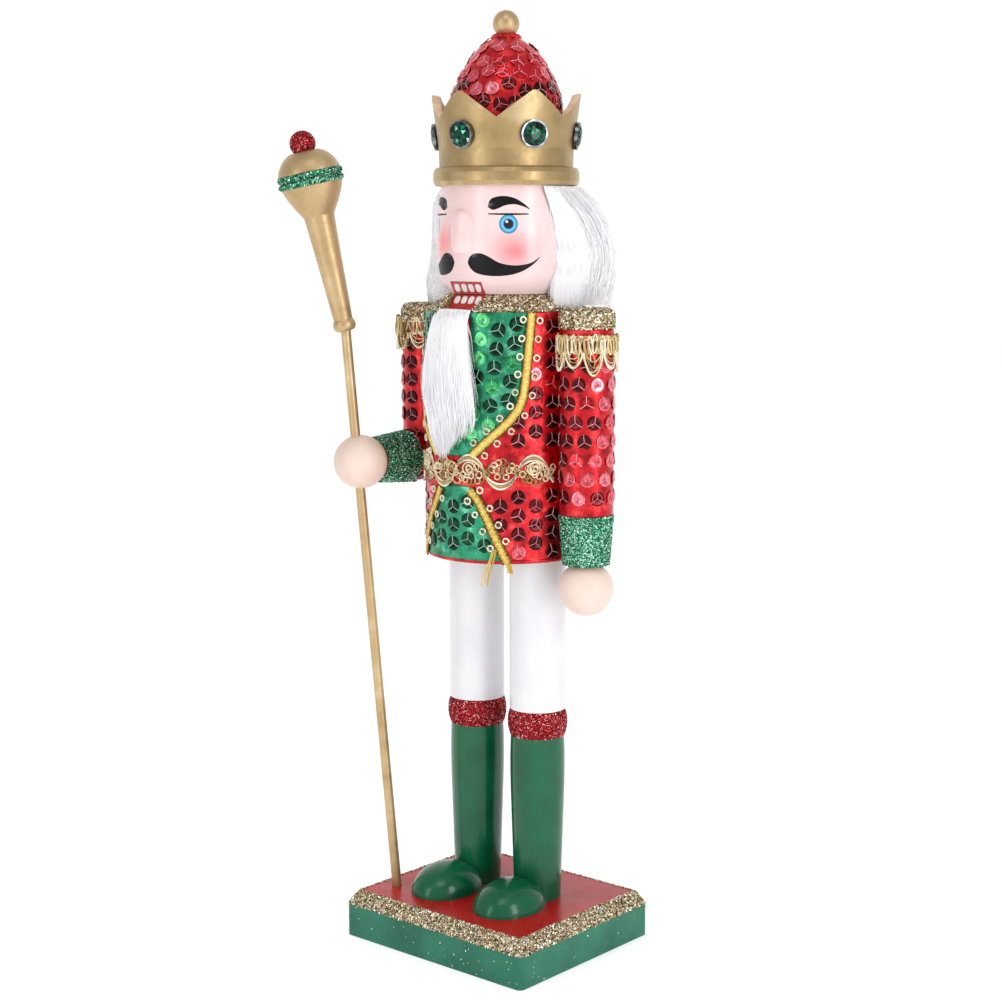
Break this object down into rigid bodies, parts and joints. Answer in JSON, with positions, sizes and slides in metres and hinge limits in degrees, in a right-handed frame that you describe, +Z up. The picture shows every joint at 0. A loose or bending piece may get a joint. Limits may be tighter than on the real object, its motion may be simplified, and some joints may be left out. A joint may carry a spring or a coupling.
{
  "type": "nutcracker figure",
  "caption": "Free-standing wooden nutcracker king with a jaw worked by a lever down its back, sequin coat, crown and a lift-out mace staff, on a chamfered plinth.",
  "frame": {"origin": "centre of the plinth's underside", "axes": "+Z up along the figure, the face looks along -Y, +X is the figure's left-hand side"},
  "size_m": [0.1254, 0.1138, 0.381],
  "materials": {
    "green_lacquer": "gloss green paint on wood",
    "red_lacquer": "gloss red paint on wood",
    "white_lacquer": "gloss white paint on wood",
    "face_lacquer": "gloss pink paint on wood",
    "hand_lacquer": "satin flesh paint on wood",
    "gold_paint": "satin champagne gold paint on wood",
    "bare_wood": "unpainted birch",
    "red_sequin_fabric": "red lame with sequins",
    "green_sequin_fabric": "green lame with sequins",
    "gold_braid": "metallic gold braid",
    "gold_gimp": "metallic gold scroll gimp",
    "gold_glitter": "champagne gold glitter",
    "red_glitter": "red glitter",
    "green_glitter": "green glitter",
    "white_fur": "long white faux fur",
    "green_gem": "faceted green acrylic stone",
    "silver_bezel": "polished metal cup",
    "steel": "zinc plated steel",
    "foam": "white moulded foam"
  },
  "bodies": {
    "figure": {"arm_left": "bare_wood", "arm_right": "bare_wood", "base_screws": "steel", "bib_braids": "gold_braid", "bib_green": "green_sequin_fabric", "boot_band_left": "red_glitter", "boot_band_right": "red_glitter", "boot_left": "green_lacquer", "boot_right": "green_lacquer", "cap_core": "foam", "cap_cover": "red_sequin_fabric", "crown_dowel": "bare_wood", "crown_gems": "green_gem", "crown_ring": "gold_paint", "cuff_left": "green_glitter", "cuff_right": "green_glitter", "elbow_dowel": "bare_wood", "epaulette_fringe_left": "gold_gimp", "epaulette_fringe_right": "gold_gimp", "epaulette_pad_left": "gold_glitter", "epaulette_pad_right": "gold_glitter", "finial": "gold_paint", "forearm_right": "bare_wood", "gem_bezels": "silver_bezel", "hair": "white_fur", "hand_left": "hand_lacquer", "hand_right": "hand_lacquer", "head_block": "face_lacquer", "jaw_pivot_pin": "steel", "leg_dowels": "bare_wood", "neck_dowels": "bare_wood", "nose": "face_lacquer", "plinth_board": "green_lacquer", "plinth_glitter_band": "gold_glitter", "shoulder_dowels": "bare_wood", "shoulder_glitter": "gold_glitter", "skirt_braids": "gold_braid", "skirt_panel_green": "green_sequin_fabric", "sleeve_left": "red_sequin_fabric", "sleeve_right": "red_sequin_fabric", "toe_cap_left": "green_lacquer", "toe_cap_right": "green_lacquer", "torso_block": "bare_wood", "trouser_leg_left": "white_lacquer", "trouser_leg_right": "white_lacquer", "tunic_red": "red_sequin_fabric", "waist_gimp_belt": "gold_gimp", "wrist_dowels": "bare_wood"},
    "jaw": {"jaw_lever": "red_lacquer", "beard": "white_fur"},
    "staff": {"staff_rod": "gold_paint", "mace_head": "gold_paint", "mace_glitter_bands": "green_glitter", "mace_red_ball": "red_glitter"}
  },
  "joints": [
    {"name": "jaw_hinge", "type": "hinge", "parent": "figure", "child": "jaw", "pos_m": [0, 0.004, 0.252], "axis": [1, 0, 0], "range_deg": [0, 20], "deforming": ["beard"]},
    {"name": "staff_slide", "type": "slide", "parent": "figure", "child": "staff", "axis": [-0.0451, -0.0665, 0.9968], "range_m": [0, 0.185]}
  ]
}
